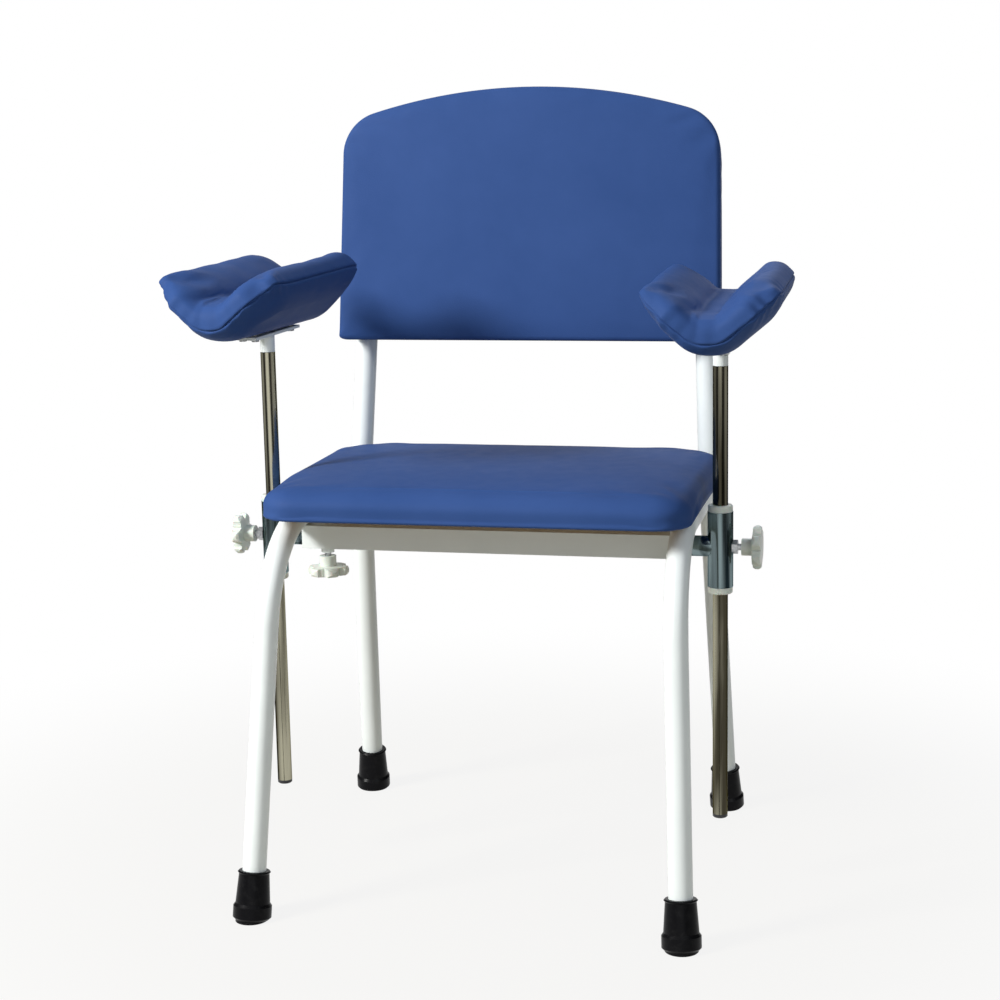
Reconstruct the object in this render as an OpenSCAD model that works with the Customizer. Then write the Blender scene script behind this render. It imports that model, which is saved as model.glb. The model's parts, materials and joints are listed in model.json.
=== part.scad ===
// Phlebotomy chair: welded tube frame, upholstered seat and backrest, and two
// saddle-shaped arm pads on rods that slide and swivel in clamped sleeves.
// Left and right are the sitter's. The sitter faces -Y, so left is +X.
// Origin: on the floor, on the middle plane, midway between front and rear feet.

/* [Frame] */
// How much further apart the front feet stand than the seat is wide
front_spread = 0; // [-4:1:16]
// How much closer together the rear feet stand than the front ones
rear_toe_in = 10; // [0:1:14]
// Outer diameter of the leg, rail and upright tubes
tube_d = 25; // [22:0.5:28]
// Wall of those tubes
tube_wall = 1.5; // [1:0.1:2.5]
// Height of the side rails' centre line above the floor
rail_height = 402.5; // [380:0.5:430]
// Inward lean of each side frame, in degrees
splay_angle = 2.1; // [1:0.1:3]
// Backward rake of the front legs, in degrees
front_rake = 9.3; // [6:0.1:12]
// Forward rake of the rear legs, in degrees
rear_rake = 8.3; // [6:0.1:10]
// Backward recline of the uprights, in degrees
recline = 7.5; // [4:0.1:12]
// Bend radius from front leg to side rail
front_bend_r = 112; // [90:1:125]
// Bend radius from rear leg to upright
rear_bend_r = 200; // [150:1:260]
// Height at which rear leg and upright lines cross
rear_bend_height = 399; // [380:1:420]
// Height of the uprights' top ends
upright_top = 785; // [740:1:800]
// Outer diameter of the rear cross tube
crossbar_d = 22; // [18:0.5:24]
// Distance of the rear cross tube in front of the seat's rear edge
crossbar_inset = 46; // [40:1:54]

/* [Feet] */
// Height of a rubber ferrule along its leg
ferrule_h = 52; // [44:1:60]
// Radius of the ferrule's base
ferrule_base_r = 20.3; // [18:0.1:24]
// Height of the ferrule's flared base
ferrule_base_h = 15; // [10:0.5:20]
// Radius of the ferrule just above the base
ferrule_low_r = 18.2; // [17:0.1:20]
// Radius of the ferrule under its top bead
ferrule_top_r = 16; // [15:0.1:18]
// Radius of the bead at the ferrule's mouth
bead_r = 17.3; // [16.5:0.1:19]
// Height of that bead
bead_h = 3; // [2:0.5:5]
// Rubber between the tube's end and the floor
ferrule_floor = 10; // [6:0.5:14]

/* [Seat] */
// Width of the seat cushion
seat_w = 454; // [400:1:540]
// Depth of the seat cushion
seat_depth = 330; // [300:1:380]
// Distance of the seat's front edge behind the front feet
seat_setback = 54; // [45:1:56]
// Distance of the rear feet behind the seat's rear edge
rear_foot_setback = 54; // [52:1:70]
// Thickness of the seat at its edge
seat_t = 32; // [28:0.5:50]
// Rise of the seat's middle over its edge
seat_crown = 4; // [1:0.5:12]
// Corner radius at the front of the seat
seat_front_r = 38; // [25:1:60]
// Corner radius at the rear of the seat
seat_rear_r = 62; // [55:1:90]
// Rounding of the seat's upper edge
seat_edge_r = 14; // [8:0.5:20]
// How far the seat's sides draw in between the corners
seat_draw_in = 2; // [0:0.5:5]
// Thickness of the plywood in the seat
seat_board_t = 12; // [9:0.5:15]
// Cover and foam left around the edge of the seat's plywood
seat_wrap = 8; // [6:0.5:14]

/* [Backrest] */
// How much narrower the backrest's foot is than the seat
back_narrowing = 6; // [0:1:30]
// Length of the backrest up its own slope
back_h = 288; // [250:1:320]
// Height of the backrest's lower edge above the floor
back_foot = 568; // [540:1:600]
// Thickness of the backrest at its edge
back_t = 36; // [30:0.5:50]
// Rise of the backrest's middle over its edge
back_crown = 5; // [1:0.5:14]
// Radius of the arch along the top
back_arch_r = 675; // [500:5:900]
// Radius of the backrest's shoulders
back_shoulder_r = 50; // [30:1:80]
// Radius of the backrest's lower corners
back_foot_r = 12; // [6:1:24]
// Rounding of the backrest's front edge
back_edge_r = 20; // [10:0.5:26]
// Narrowing of the backrest from foot to top, each side
back_taper = 5; // [0:0.5:10]
// Thickness of the plywood in the backrest
back_board_t = 12; // [9:0.5:15]
// Cover and foam left around the edge of the backrest's plywood
back_wrap = 8; // [6:0.5:14]

/* [Arm beam and sleeves] */
// Side of the square cross beam under the rails
beam_side = 25; // [22:0.5:30]
// Wall of the square beam
beam_wall = 1.5; // [1:0.1:2.5]
// Distance of the beam and the arm rods behind the seat's front edge, as a share of its depth
arm_share = 0.3576; // [0.35:0.001:0.38]
// Bare slide bar between the beam's end and a sleeve when pushed in
slider_neck = 21.5; // [16:0.5:26]
// Distance of each arm rod outside the seat's side
rod_side_gap = 18; // [16:0.5:35]
// Running clearance of the right slide bar in the beam
slider_gap = 0.1; // [0.05:0.01:0.1]
// Wall of the slide bar
slider_wall = 2; // [1.5:0.1:3]
// Outward travel of the right slide bar
slider_travel = 80; // [40:1:90]
// Length of the right slide bar left inside the beam when fully out
slider_hold = 40; // [36:1:60]
// Length of the left stub inside the beam
stub_grip = 60; // [40:1:90]
// Outer diameter of a sleeve
sleeve_d = 27; // [26:0.5:30]
// Wall of a sleeve
sleeve_wall = 2; // [1.5:0.1:2.5]
// Length of a sleeve's tube
sleeve_len = 80; // [60:1:100]
// How far a sleeve's middle sits below its slide bar
sleeve_drop = 2.5; // [0:0.5:6]
// Thickness of a bush's flange
bush_flange_t = 7; // [4:0.5:10]
// Depth of a bush inside its sleeve
bush_depth = 22; // [15:1:24]

/* [Clamp knobs] */
// Diameter of a clamp stud at its thread's mid flank
stud_d = 7.2; // [6:0.1:7.5]
// Width across the flats of a welded nut
nut_af = 13; // [12:0.5:15]
// Thickness of a welded nut
nut_t = 6; // [4.5:0.5:8]
// Bare stud between nut and knob when clamped
stud_show = 4; // [3:0.5:8]
// Diameter of a knob's hub
hub_d = 18; // [15:0.5:20]
// Length of a knob's hub
hub_len = 11; // [8:0.5:14]
// Diameter over a knob's lobes
knob_d = 46.5; // [40:0.5:52]
// Thickness of a knob's lobed head
knob_t = 10.5; // [8:0.5:14]
// Number of lobes on a knob
knob_lobes = 6; // [5:1:8]
// Depth of a stud inside its knob
stud_seat = 14; // [10:0.5:18]

/* [Arm rods] */
// Diameter of an arm rod
rod_d = 16; // [14:0.5:16.5]
// Wall of an arm rod
rod_wall = 2; // [1.5:0.1:3]
// Length of an arm rod
rod_len = 482; // [430:1:490]
// Height of the left rod's top end
left_rod_top = 567.5; // [560:0.5:620]
// Height of the right rod's top end
right_rod_top = 578.5; // [560:0.5:620]
// Length of the black plug showing under a rod
rod_plug_show = 4; // [2:0.5:8]

/* [Arm pads] */
// Swivel of the left pad, front turned inwards, in degrees
left_swivel = 0; // [-30:1:30]
// Swivel of the right pad, front turned outwards, in degrees
right_swivel = 11; // [-30:1:45]
// Forward and downward slope of a pad, in degrees
pad_tilt = 3; // [0:0.5:8]
// Height of the white post between a rod and its pad's plate
post_h = 19.5; // [15:0.5:26]
// Diameter of that post
post_d = 16; // [14:0.5:20]
// Length of the post's spigot, which turns inside the hollow rod
spigot_len = 32; // [20:1:60]
// Thickness of the plate under a pad
plate_t = 3; // [2:0.5:5]
// Width of the plate under a pad
plate_w = 28; // [26:1:34]
// Length of the plate under a pad
plate_len = 94; // [80:1:110]
// Half width of a pad, measured over its curve
pad_half_w = 78; // [70:1:90]
// Length of a pad in front of its post, along the trough
pad_front_len = 119; // [110:1:126]
// Length of a pad behind its post, along the trough
pad_rear_len = 106; // [98:1:115]
// Half length of a pad along its outer edges
pad_edge_half_len = 91; // [84:1:96]
// Half width of a pad's straight ends, measured over its curve
pad_prow_half_w = 52; // [44:1:58]
// Thickness of a pad along its trough
pad_t = 45; // [38:0.5:47]
// Thickness of a pad's wing tips, as a share of that
pad_tip_share = 0.78; // [0.7:0.01:1]
// How far a pad's rounded edges reach in from its seam
pad_edge_reach = 33; // [20:0.5:36]
// Rounding of a pad's corners in plan
pad_corner_r = 14; // [8:1:20]
// Slope of a pad's wings, in degrees
wing_angle = 38; // [30:1:42]
// Half width of the flat along the trough's foot
trough_flat_half_w = 6; // [4:0.5:10]
// Width over the curve of the bend from that flat to each wing
trough_bend_w = 11; // [10:0.5:16]
// Extra filling along the middle of a pad
pad_crown = 1; // [0:0.1:1]
// Thickness of the saddle plate inside a pad
pad_board_t = 3; // [2:0.5:4]

/* [Fasteners] */
// Diameter of the seat screws
seat_screw_d = 5; // [4:0.5:6]
// Diameter of the backrest bolts
back_bolt_d = 6; // [5:0.5:8]
// Diameter of the pad screws
pad_screw_d = 4; // [3:0.5:5]

/* [Hidden] */

// Overrun of every cut past the face that it goes through
over = 1;
// Fineness of round shapes
$fn = 64;
// Radial clearance of a shaft that runs in a bore
run_gap = 0.075;
// Clearance between pieces that are pressed or pushed together
seat_gap = 0.1;
// Clearance around a screw or bolt in a drilled hole
hole_gap = 0.3;
// Clearance between a stud's tip and what it clamps
tip_gap = 0.3;
// Clearance between a board or beam and the round tube that it lies on
rest_gap = 0.05;
// How much fuller a tube is round its bends than along its straight stretches
bend_swell = 0.15;

// Colours
white = [0.93, 0.94, 0.92];
vinyl = [0.25, 0.34, 0.58];
chromed = [0.72, 0.72, 0.68];
nylon = [0.92, 0.93, 0.88];
black = [0.08, 0.08, 0.09];
ply = [0.72, 0.58, 0.40];
zinc = [0.62, 0.63, 0.65];

// Frame geometry. Each side frame lies in a leaning plane, where a place is
// given by its run back from the front foot and its rise along the lean.
tube_r = tube_d / 2;
bore_d = tube_d - 2 * tube_wall;
wheelbase = seat_setback + seat_depth + rear_foot_setback;
front_track = seat_w + front_spread;
rear_track = front_track - rear_toe_in;
back_w = seat_w - back_narrowing;
front_foot_y = -wheelbase / 2;
toe_angle = atan((front_track - rear_track) / 2 / wheelbase);
rail_rise = rail_height / cos(splay_angle);
knee_rise = rear_bend_height / cos(splay_angle);
top_rise = upright_top / cos(splay_angle);
bend_end = front_bend_r * cos(front_rake)
    + (rail_rise - front_bend_r * (1 - sin(front_rake))) * tan(front_rake);
bend_centre_rise = rail_rise - front_bend_r;
front_leg_len = (bend_centre_rise + front_bend_r * sin(front_rake)) / cos(front_rake);
knee_run = wheelbase - knee_rise * tan(rear_rake);
rear_turn = rear_rake + recline;
rear_tangent = rear_bend_r * tan(rear_turn / 2);
rear_leg_len = knee_rise / cos(rear_rake) - rear_tangent;
upright_len = (top_rise - knee_rise) / cos(recline) - rear_tangent;
upright_run = knee_run + rear_tangent * sin(recline);
upright_rise = knee_rise + rear_tangent * cos(recline);
rear_centre_run = knee_run + rear_tangent * sin(rear_rake) + rear_bend_r * cos(rear_rake);
rear_centre_rise = knee_rise - rear_tangent * cos(rear_rake) + rear_bend_r * sin(rear_rake);
rail_top = rail_height + tube_r + rest_gap;

// World place of a point in the leaning plane, for the left side
function plane_x(run, h) = front_track / 2 - h * tan(splay_angle) * cos(toe_angle)
    - run * sin(toe_angle);
function plane_y(run, h) = front_foot_y + run * cos(toe_angle)
    - h * tan(splay_angle) * sin(toe_angle);
function rail_x(setback) = plane_x(setback, rail_height);
function upright_run_at(h) = knee_run + (h - rear_bend_height) / cos(splay_angle) * tan(recline);
function upright_x(h) = plane_x(upright_run_at(h), h);
function upright_y(h) = plane_y(upright_run_at(h), h);

// Arm geometry
beam_top = rail_height - tube_r - rest_gap;
beam_h = beam_top - beam_side / 2;
beam_bore = beam_side - 2 * beam_wall;
slider_d = beam_bore - 2 * slider_gap;
arm_setback = seat_setback + seat_depth * arm_share;
arm_y = front_foot_y + arm_setback;
rod_offset = seat_w / 2 + rod_side_gap;
beam_len = 2 * (rod_offset - sleeve_d / 2 - slider_neck);
slider_grip = slider_travel + slider_hold;
sleeve_h = beam_h - sleeve_drop;
sleeve_top = sleeve_h + sleeve_len / 2;
sleeve_foot = sleeve_h - sleeve_len / 2;
sleeve_bore = sleeve_d - 2 * sleeve_wall;
bush_d = sleeve_bore - 2 * seat_gap;
bush_bore = rod_d + 2 * run_gap;
bush_flange_d = sleeve_d - 1;
nut_face = sleeve_d / 2 + nut_t - 1;
rod_bore = rod_d - 2 * rod_wall;
beam_stud_x = beam_len / 2 - beam_side;

// Height of a pad's middle surface above its underside
pad_mid = pad_t / 2;

// Puts a side's pieces into their leaning plane: Y runs back, Z up the plane
module side_plane(side) {
    mirror([side < 0 ? 1 : 0, 0, 0])
        translate([front_track / 2, front_foot_y, 0])
            rotate([0, 0, toe_angle])
                rotate([0, -splay_angle, 0])
                    children();
}

// A straight stretch of round tube, solid where it has no bore
module tube(len, d, bore) {
    difference() {
        cylinder(d = d, h = len);
        if (bore > 0)
            translate([0, 0, -over])
                cylinder(d = bore, h = len + 2 * over);
    }
}

// A bent stretch of tube in the leaning plane, turning about a centre. It is
// slightly fuller than the straight stretches, whose ends lie inside it.
module plane_bend(centre_run, centre_rise, r, from_angle, turn, d, bore) {
    translate([0, centre_run, centre_rise])
        rotate([90, 0, 90])
            rotate([0, 0, from_angle])
                rotate_extrude(angle = turn)
                    translate([r, 0])
                        difference() {
                            circle(d = d + bend_swell);
                            if (bore > 0)
                                circle(d = bore - bend_swell);
                        }
}

module front_leg(d, bore) {
    rotate([-front_rake, 0, 0])
        translate([0, 0, ferrule_floor])
            tube(front_leg_len - ferrule_floor + over, d, bore);
}

module front_bend(d, bore) {
    plane_bend(bend_end, bend_centre_rise, front_bend_r, 90, 90 - front_rake, d, bore);
}

module side_rail(d, bore) {
    translate([0, bend_end - over, rail_rise])
        rotate([-90, 0, 0])
            tube(knee_run - bend_end + over, d, bore);
}

module rear_leg(d, bore) {
    translate([0, wheelbase, 0])
        rotate([rear_rake, 0, 0])
            translate([0, 0, ferrule_floor])
                tube(rear_leg_len - ferrule_floor + over, d, bore);
}

module rear_bend(d, bore) {
    plane_bend(rear_centre_run, rear_centre_rise, rear_bend_r, 180 - recline, rear_turn,
        d, bore);
}

// Puts children at an upright's lower end, with Z running up the tube
module at_upright() {
    translate([0, upright_run, upright_rise])
        rotate([-recline, 0, 0])
            children();
}

// Places of the four seat screws, each pair as a share of the seat's depth
seat_screw_shares = [0.46, 0.76];
seat_screw_places = [
    for (side = [-1, 1])
        for (share = seat_screw_shares)
            let (setback = seat_setback + seat_depth * share)
                [side * rail_x(setback), plane_y(setback, rail_height)]
];
head_d_share = 2;
head_t_share = 0.6;
bite_share = 0.7;
screw_head_d = head_d_share * seat_screw_d;
screw_head_t = head_t_share * seat_screw_d;
seat_screw_bite = bite_share * seat_board_t;

// Puts children at the place of each seat screw, at the rail's centre height
module at_seat_screws() {
    for (p = seat_screw_places)
        translate([p[0], p[1], rail_height])
            children();
}

module upright_tube(d, bore) {
    at_upright()
        translate([0, 0, -over])
            tube(upright_len + over, d, bore);
}

// Front leg, bend and side rail as one tube, its end shaped to the upright
module side_frame(side) {
    color(white)
        difference() {
            side_plane(side) {
                front_leg(tube_d, bore_d);
                front_bend(tube_d, bore_d);
                difference() {
                    side_rail(tube_d, bore_d);
                    rear_bend(tube_d + 2 * rest_gap, 0);
                    upright_tube(tube_d + 2 * rest_gap, 0);
                    rear_leg(tube_d + 2 * rest_gap, 0);
                }
            }
            at_seat_screws()
                translate([0, 0, -tube_d])
                    cylinder(d = seat_screw_d + 2 * hole_gap, h = 2 * tube_d);
        }
}

// Rear leg, knee and upright as one tube, drilled for the backrest bolts
module rear_upright(side) {
    color(white)
        difference() {
            side_plane(side) {
                rear_leg(tube_d, bore_d);
                rear_bend(tube_d, bore_d);
                upright_tube(tube_d, bore_d);
            }
            at_back_bolts()
                translate([0, -tube_d, 0])
                    rotate([-90, 0, 0])
                        cylinder(d = back_bolt_d + 2 * hole_gap, h = 2 * tube_d);
        }
}

// Rear cross tube: its run back from the front feet, and its half length
crossbar_setback = seat_setback + seat_depth - crossbar_inset;
crossbar_half = rail_x(crossbar_setback);

// Cross tube between the side rails, hidden under the seat's rear
module rear_crossbar() {
    color(white)
        difference() {
            translate([-crossbar_half, front_foot_y + crossbar_setback, rail_height])
                rotate([0, 90, 0])
                    tube(2 * crossbar_half, crossbar_d, crossbar_d - 2 * tube_wall);
            for (side = [-1, 1])
                side_plane(side)
                    side_rail(tube_d + 2 * rest_gap, 0);
        }
}

// Square tube under the rails, open at both ends, drilled for its clamp stud
module arm_beam() {
    color(white)
        translate([0, arm_y, beam_h])
            difference() {
                cube([beam_len, beam_side, beam_side], center = true);
                cube([beam_len + 2 * over, beam_bore, beam_bore], center = true);
                translate([-beam_stud_x, 0, -beam_side])
                    cylinder(d = stud_d + 2 * run_gap, h = beam_side);
            }
}

// Revolved outline of a ferrule, from its sole up along the leg
ferrule_edge = 3;
bead_crest = bead_h / 2;
module ferrule_form() {
    rotate_extrude()
        polygon([
            [0, -ferrule_base_r],
            [ferrule_base_r - ferrule_edge, -ferrule_base_r],
            [ferrule_base_r - ferrule_edge, 0],
            [ferrule_base_r, ferrule_edge],
            [ferrule_base_r, ferrule_base_h],
            [ferrule_low_r, ferrule_base_h + ferrule_edge],
            [ferrule_top_r, ferrule_h - bead_h],
            [bead_r, ferrule_h - bead_crest],
            [ferrule_top_r, ferrule_h],
            [0, ferrule_h]
        ]);
}

// Rubber ferrule on a leg whose foot is at foot_y in the side plane
module ferrule(side, foot_y, rake) {
    color(black)
        difference() {
            side_plane(side)
                translate([0, foot_y, 0])
                    rotate([-rake, 0, 0])
                        difference() {
                            ferrule_form();
                            translate([0, 0, ferrule_floor - seat_gap])
                                cylinder(d = tube_d + 2 * seat_gap, h = ferrule_h);
                        }
            translate([0, 0, -ferrule_h])
                cube([2 * front_track, 2 * wheelbase + 2 * ferrule_h, 2 * ferrule_h],
                    center = true);
        }
}

// Black plugs that close the uprights' top ends
plug_cap_t = 3;
plug_grip = 14;
module upright_plugs() {
    color(black)
        for (side = [-1, 1])
            side_plane(side)
                at_upright()
                    translate([0, 0, upright_len]) {
                        cylinder(d = tube_d, h = plug_cap_t);
                        translate([0, 0, -plug_grip])
                            cylinder(d = bore_d - 2 * seat_gap, h = plug_grip + plug_cap_t);
                    }
}

// Points on an arc about a centre
function arc(cx, cy, r, a0, a1, n) =
    [for (i = [0:n]) let (a = a0 + (a1 - a0) * i / n) [cx + r * cos(a), cy + r * sin(a)]];

// Rounded corner of an outline drawn in by d: keeps a small radius when d passes r
min_r = 1;
function corner(sx, sy, x, y, r, d, a0, n) =
    let (rr = max(r - d, min_r))
        arc(x - sx * (d + rr), y - sy * (d + rr), rr, a0, a0 + 90, n);

// Points between two corners, drawn in most at the middle
function drawn_side(p, q, depth, n) =
    let (len = norm(q - p), nx = (p[1] - q[1]) / len, ny = (q[0] - p[0]) / len)
        [for (i = [1:n - 1]) let (t = i / n)
            p + (q - p) * t + depth * 4 * t * (1 - t) * [nx, ny]];

// Joins lists of outline points with drawn-in sides between them
function last(v) = v[len(v) - 1];
function inner(v) = [for (i = [1:len(v) - 2]) v[i]];
function ring_of(parts, depth, n) =
    [for (k = [0:len(parts) - 1])
        let (next = parts[(k + 1) % len(parts)])
            for (p = concat(parts[k], drawn_side(last(parts[k]), next[0], depth, n))) p];

// Triangles between rings of n points, closed by a fan at each end
function loft_faces(rings, n) = concat(
    [for (k = [0:rings - 2]) for (i = [0:n - 1])
        let (j = (i + 1) % n, a = k * n + i, b = k * n + j, c = a + n, d = b + n)
            each [[a, c, b], [b, c, d]]],
    [for (i = [0:n - 1]) [rings * n, i, (i + 1) % n]],
    [for (i = [0:n - 1]) let (j = (i + 1) % n)
        [rings * n + 1, (rings - 1) * n + j, (rings - 1) * n + i]]
);

// Edge of a cushion as [share of the edge radius drawn in, height] pairs
corner_steps = 5;
side_steps = 4;
edge_steps = 4;
foot_tuck_share = 0.25;
function edge_profile(t, r) = concat(
    [[foot_tuck_share * r, 0], [foot_tuck_share * r / 3, foot_tuck_share * r]],
    [for (i = [0:edge_steps]) let (a = 90 * i / edge_steps)
        [r * (1 - cos(a)), t - r * (1 - sin(a))]]
);
crown_shares = [0.85, 0.62, 0.36, 0.14];

// Seat outline drawn in by d
seat_front_y = front_foot_y + seat_setback;
seat_rear_y = seat_front_y + seat_depth;
seat_mid_y = (seat_front_y + seat_rear_y) / 2;
function seat_ring(d, depth) = ring_of([
    corner(1, -1, seat_w / 2, seat_front_y, seat_front_r, d, -90, corner_steps),
    corner(1, 1, seat_w / 2, seat_rear_y, seat_rear_r, d, 0, corner_steps),
    corner(-1, 1, -seat_w / 2, seat_rear_y, seat_rear_r, d, 90, corner_steps),
    corner(-1, -1, -seat_w / 2, seat_front_y, seat_front_r, d, 180, corner_steps)
], depth, side_steps);

function lift(ring, h) = [for (p = ring) [p[0], p[1], h]];
function shrink(ring, centre, share, h) =
    [for (p = ring) let (q = centre + (p - centre) * share) [q[0], q[1], h]];

seat_edge = edge_profile(seat_t, seat_edge_r);
seat_top_ring = seat_ring(seat_edge_r, 0);
seat_rings = concat(
    [for (e = seat_edge) lift(seat_ring(e[0], seat_draw_in), e[1])],
    [for (f = crown_shares)
        shrink(seat_top_ring, [0, seat_mid_y], f, seat_t + seat_crown * (1 - f * f))]
);

// Closed form from rings of points, with the ends' middle points
module ring_solid(rings, foot, top) {
    n = len(rings[0]);
    polyhedron(
        points = concat([for (r = rings) each r], [foot, top]),
        faces = loft_faces(len(rings), n)
    );
}

module seat_outline(d) {
    polygon(seat_ring(d, 0));
}

module seat_board() {
    color(ply)
        translate([0, 0, rail_top])
            difference() {
                linear_extrude(seat_board_t)
                    seat_outline(seat_wrap);
                for (p = seat_screw_places)
                    translate([p[0], p[1], -over])
                        cylinder(d = seat_screw_d, h = seat_screw_bite + over);
            }
}

// Foam and cover wrapped over the board and tucked under its edge
module seat_cushion() {
    color(vinyl)
        translate([0, 0, rail_top])
            difference() {
                ring_solid(seat_rings, [0, seat_mid_y, 0],
                    [0, seat_mid_y, seat_t + seat_crown]);
                translate([0, 0, -over])
                    linear_extrude(seat_board_t + over + seat_gap)
                        seat_outline(seat_wrap - seat_gap);
            }
}

module seat_screws() {
    color(zinc)
        at_seat_screws() {
            translate([0, 0, -tube_r - screw_head_t])
                cylinder(d = screw_head_d, h = screw_head_t);
            translate([0, 0, -tube_r])
                cylinder(d = seat_screw_d, h = tube_d + seat_screw_bite);
        }
}

// Backrest frame: X across, Y up the slope, Z towards the sitter, on the uprights
module back_plane() {
    translate([0, upright_y(back_foot) - (tube_r + rest_gap) / cos(recline), back_foot])
        rotate([90 - recline, 0, 0])
            children();
}

function back_ring(d) =
    let (hx = back_w / 2, r = max(back_shoulder_r - d, min_r),
        arch_y = back_h - back_arch_r,
        sx = hx - back_shoulder_r,
        sy = arch_y + sqrt(pow(back_arch_r - back_shoulder_r, 2) - sx * sx),
        turn = atan2(sy - arch_y, sx),
        steps = 2 * corner_steps,
        raw = ring_of([
            corner(1, -1, hx, 0, back_foot_r, d, -90, corner_steps - 1),
            concat(arc(sx, sy, r, 0, turn, corner_steps),
                inner(arc(0, arch_y, back_arch_r - d, turn, 180 - turn, steps)),
                arc(-sx, sy, r, 180 - turn, 180, corner_steps)),
            corner(-1, -1, -hx, 0, back_foot_r, d, 180, corner_steps - 1)
        ], 0, side_steps))
        [for (p = raw) [p[0] * (1 - back_taper / hx * p[1] / back_h), p[1]]];

back_edge = edge_profile(back_t, back_edge_r);
back_top_ring = back_ring(back_edge_r);
back_mid = [0, back_h / 2];
back_rings = concat(
    [for (e = back_edge) lift(back_ring(e[0]), e[1])],
    [for (f = crown_shares)
        shrink(back_top_ring, back_mid, f, back_t + back_crown * (1 - f * f))]
);

// Places of the four backrest bolts, as heights above the floor
back_bolt_shares = [0.2, 0.62];
back_bolt_heights = [for (share = back_bolt_shares)
    back_foot + share * back_h * cos(recline)];
bolt_head_t = head_t_share * back_bolt_d;
bolt_bite = bite_share * back_board_t;

// Puts children on each upright's centre line, with Y pointing through the tube
module at_back_bolts() {
    for (side = [-1, 1])
        for (h = back_bolt_heights)
            translate([side * upright_x(h), upright_y(h), h])
                rotate([-recline, 0, 0])
                    children();
}

module backrest_board() {
    color(ply)
        difference() {
            back_plane()
                linear_extrude(back_board_t)
                    polygon(back_ring(back_wrap));
            at_back_bolts()
                translate([0, -tube_r - bolt_bite, 0])
                    rotate([-90, 0, 0])
                        cylinder(d = back_bolt_d, h = tube_d);
        }
}

module backrest_cushion() {
    color(vinyl)
        back_plane()
            difference() {
                ring_solid(back_rings, [0, back_h / 2, 0], [0, back_h / 2, back_t + back_crown]);
                translate([0, 0, -over])
                    linear_extrude(back_board_t + over + seat_gap)
                        polygon(back_ring(back_wrap - seat_gap));
            }
}

// Hexagon headed bolts from behind, through each upright into the board
module backrest_bolts() {
    color(zinc)
        at_back_bolts() {
            translate([0, tube_r + rest_gap, 0])
                rotate([-90, 0, 0])
                    cylinder(d = head_d_share * back_bolt_d, h = bolt_head_t, $fn = 6);
            translate([0, -tube_r - bolt_bite, 0])
                rotate([-90, 0, 0])
                    cylinder(d = back_bolt_d, h = tube_d + bolt_bite + bolt_head_t / 2);
        }
}

// Hexagon nut with its axis along Z, its lower face at zero
module hex_nut(t) {
    difference() {
        cylinder(d = nut_af / cos(30), h = t, $fn = 6);
        translate([0, 0, -over])
            cylinder(d = stud_d + 2 * run_gap, h = t + 2 * over);
    }
}

// Nut welded under the beam for the right slide bar's clamp
module beam_nut() {
    color(white)
        translate([-beam_stud_x, arm_y, beam_top - beam_side])
            mirror([0, 0, 1])
                hex_nut(nut_t);
}

// Puts children at a sleeve, with X pointing away from the chair
module at_sleeve(side) {
    mirror([side < 0 ? 1 : 0, 0, 0])
        translate([rod_offset, arm_y, 0])
            children();
}

// Slide bar with its sleeve welded across the end
module sleeve(side, grip) {
    bar_len = rod_offset - beam_len / 2 + grip;
    color(chromed)
        at_sleeve(side)
            difference() {
                union() {
                    translate([0, 0, sleeve_foot])
                        cylinder(d = sleeve_d, h = sleeve_len);
                    translate([-bar_len, 0, beam_h])
                        rotate([0, 90, 0])
                            cylinder(d = slider_d, h = bar_len);
                }
                translate([0, 0, sleeve_foot - over])
                    cylinder(d = sleeve_bore, h = sleeve_len + 2 * over);
                translate([-bar_len - over, 0, beam_h])
                    rotate([0, 90, 0])
                        cylinder(d = slider_d - 2 * slider_wall,
                            h = bar_len + over - sleeve_bore / 2 - sleeve_wall / 2);
                translate([0, 0, beam_h])
                    rotate([0, 90, 0])
                        cylinder(d = stud_d + 2 * hole_gap, h = sleeve_d);
            }
}

// Flanged bush in a sleeve's mouth, drawn for the upper end
module bush_form() {
    rotate_extrude()
        polygon([
            [bush_bore / 2, -bush_depth],
            [bush_d / 2, -bush_depth],
            [bush_d / 2, 0],
            [bush_flange_d / 2, 0],
            [bush_flange_d / 2, bush_flange_t - bush_edge],
            [bush_flange_d / 2 - bush_edge, bush_flange_t],
            [bush_bore / 2, bush_flange_t]
        ]);
}
bush_edge = 1;

module upper_bush(side) {
    color(nylon)
        at_sleeve(side)
            translate([0, 0, sleeve_top])
                bush_form();
}

module lower_bush(side) {
    color(nylon)
        at_sleeve(side)
            translate([0, 0, sleeve_foot])
                mirror([0, 0, 1])
                    bush_form();
}

// Nut welded on a sleeve's outer side, its back shaped to the tube
module sleeve_nut(side) {
    color(zinc)
        at_sleeve(side)
            difference() {
                translate([nut_face - nut_t, 0, beam_h])
                    rotate([0, 90, 0])
                        hex_nut(nut_t);
                translate([0, 0, sleeve_foot])
                    cylinder(d = sleeve_d, h = sleeve_len);
            }
}

// Clamp stud and knob along +Z, with the nut's outer face at zero
module stud_form(reach) {
    translate([0, 0, -reach])
        cylinder(d = stud_d, h = reach + stud_show + stud_seat);
}

knob_dish = 2;
lobe_share = 0.16;
valley_share = 0.13;
lobe_r = knob_d * lobe_share;
valley_r = knob_d * valley_share;
module knob_outline() {
    difference() {
        union() {
            circle(d = knob_d - 2 * lobe_r);
            for (k = [0:knob_lobes - 1])
                rotate([0, 0, k * 360 / knob_lobes])
                    translate([knob_d / 2 - lobe_r, 0])
                        circle(r = lobe_r);
        }
        for (k = [0:knob_lobes - 1])
            rotate([0, 0, (k + 1 / 2) * 360 / knob_lobes])
                translate([knob_d / 2, 0])
                    circle(r = valley_r);
    }
}

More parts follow.
